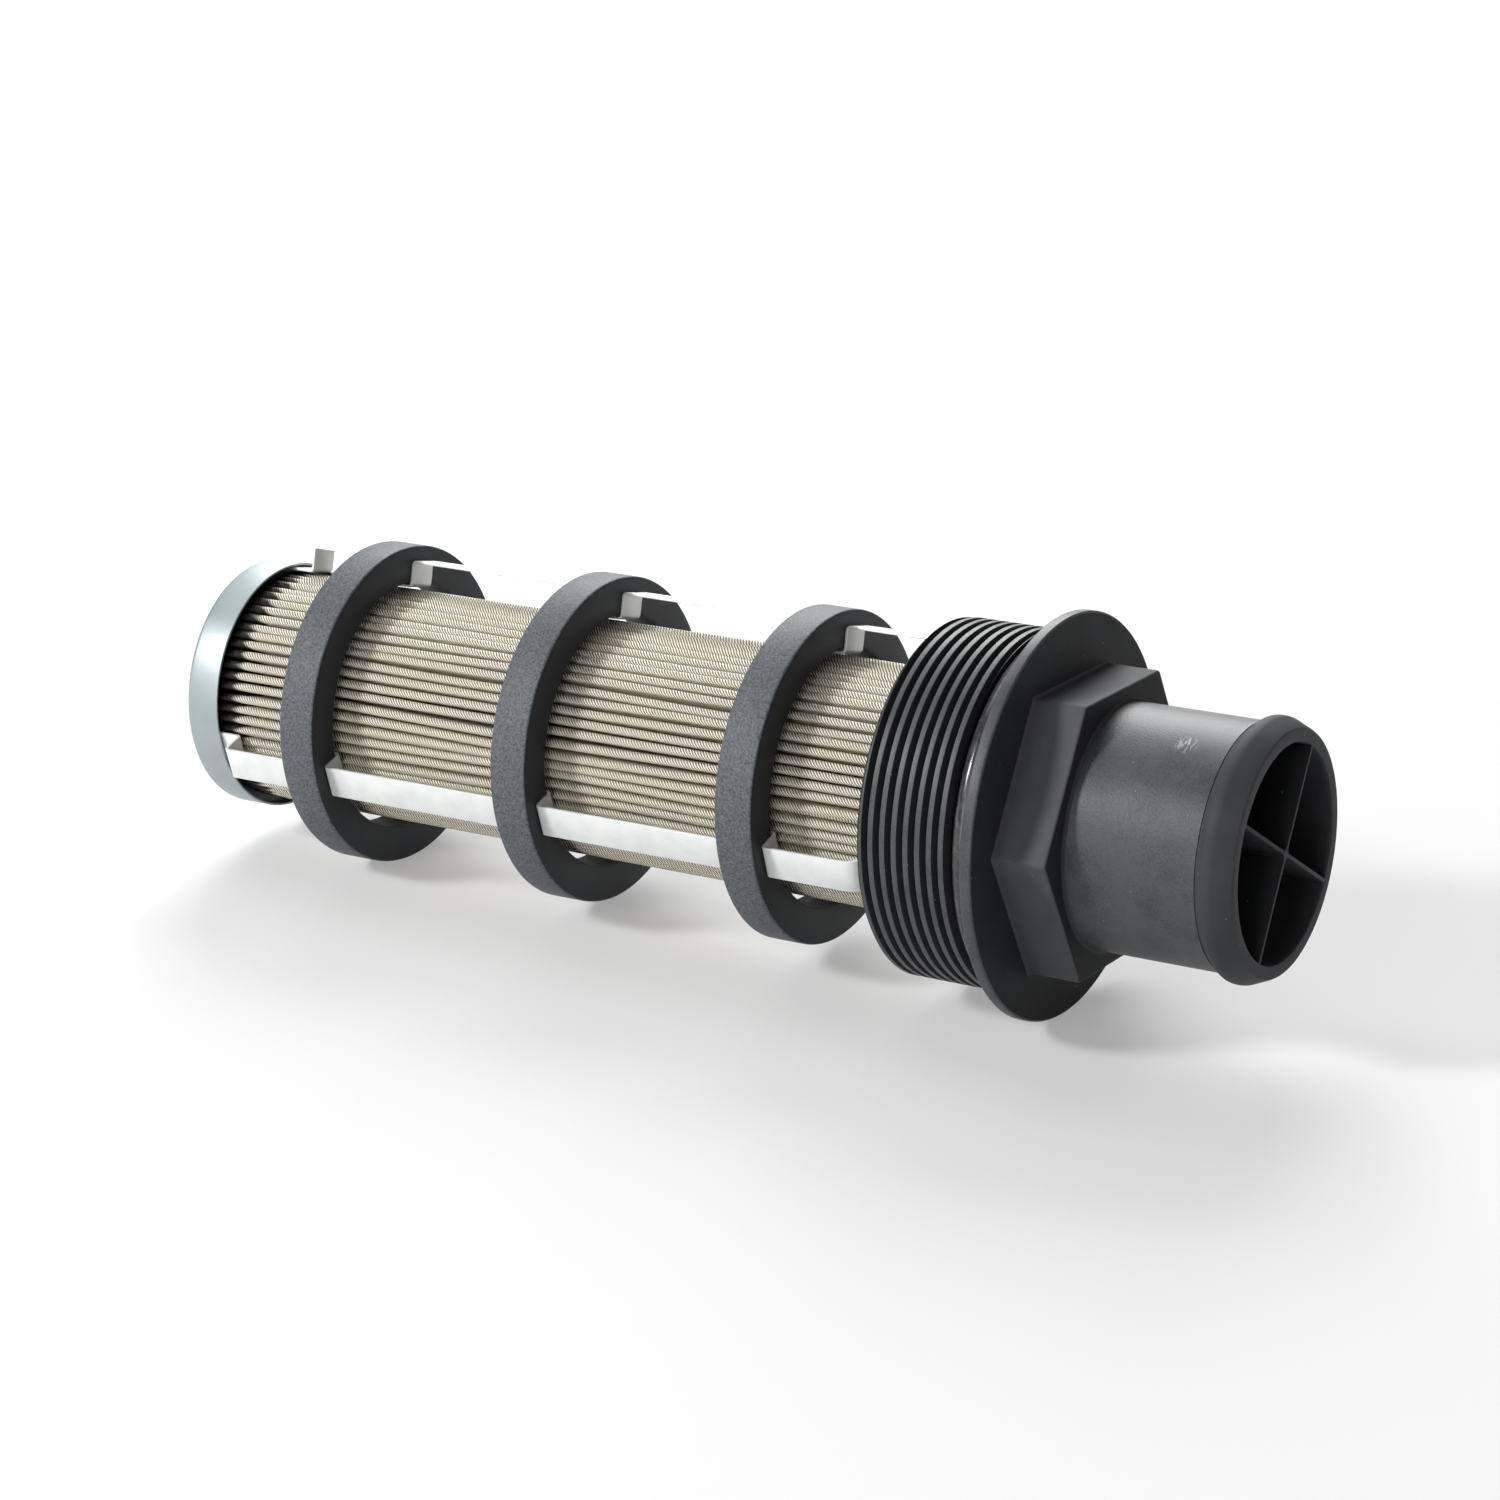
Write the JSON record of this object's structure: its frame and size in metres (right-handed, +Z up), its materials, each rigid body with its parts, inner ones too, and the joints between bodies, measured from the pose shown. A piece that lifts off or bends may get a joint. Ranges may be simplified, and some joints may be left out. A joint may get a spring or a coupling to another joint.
{
  "type": "hydraulic suction strainer",
  "caption": "Tank-mounted hydraulic suction strainer with pleated wire mesh, ring magnets and a threaded nylon port body with a hose stub.",
  "frame": {"origin": "centre of the flange's sealing face, which bears on the tank wall", "axes": "+X along the axis, out of the hose mouth; +Z up in the picture's pose; two corners of the hexagon lie on Y"},
  "size_m": [0.221, 0.0736, 0.0736],
  "materials": {
    "black_nylon": "fine moulded grain",
    "nitrile_rubber": "smooth, slightly glossy",
    "stainless_mesh": "fine woven wire",
    "perforated_steel": "satin",
    "zinc_plated_steel": "bright zinc plate",
    "potting_adhesive": "cured, semi-gloss",
    "ferrite": "ground, speckled grey"
  },
  "bodies": {
    "root": {"port_body": "black_nylon", "mouth_ribs": "black_nylon", "flange_seal": "nitrile_rubber", "pleated_mesh": "stainless_mesh", "core_tube": "perforated_steel", "closed_end_cap": "zinc_plated_steel", "outlet_end_cap": "zinc_plated_steel", "closed_end_potting": "potting_adhesive", "outlet_potting": "potting_adhesive", "element_bond": "potting_adhesive", "magnet_ring_1": "ferrite", "magnet_ring_2": "ferrite", "magnet_ring_3": "ferrite", "magnet_strip_top": "zinc_plated_steel", "magnet_strip_front": "zinc_plated_steel", "magnet_strip_back": "zinc_plated_steel"}
  },
  "joints": []
}
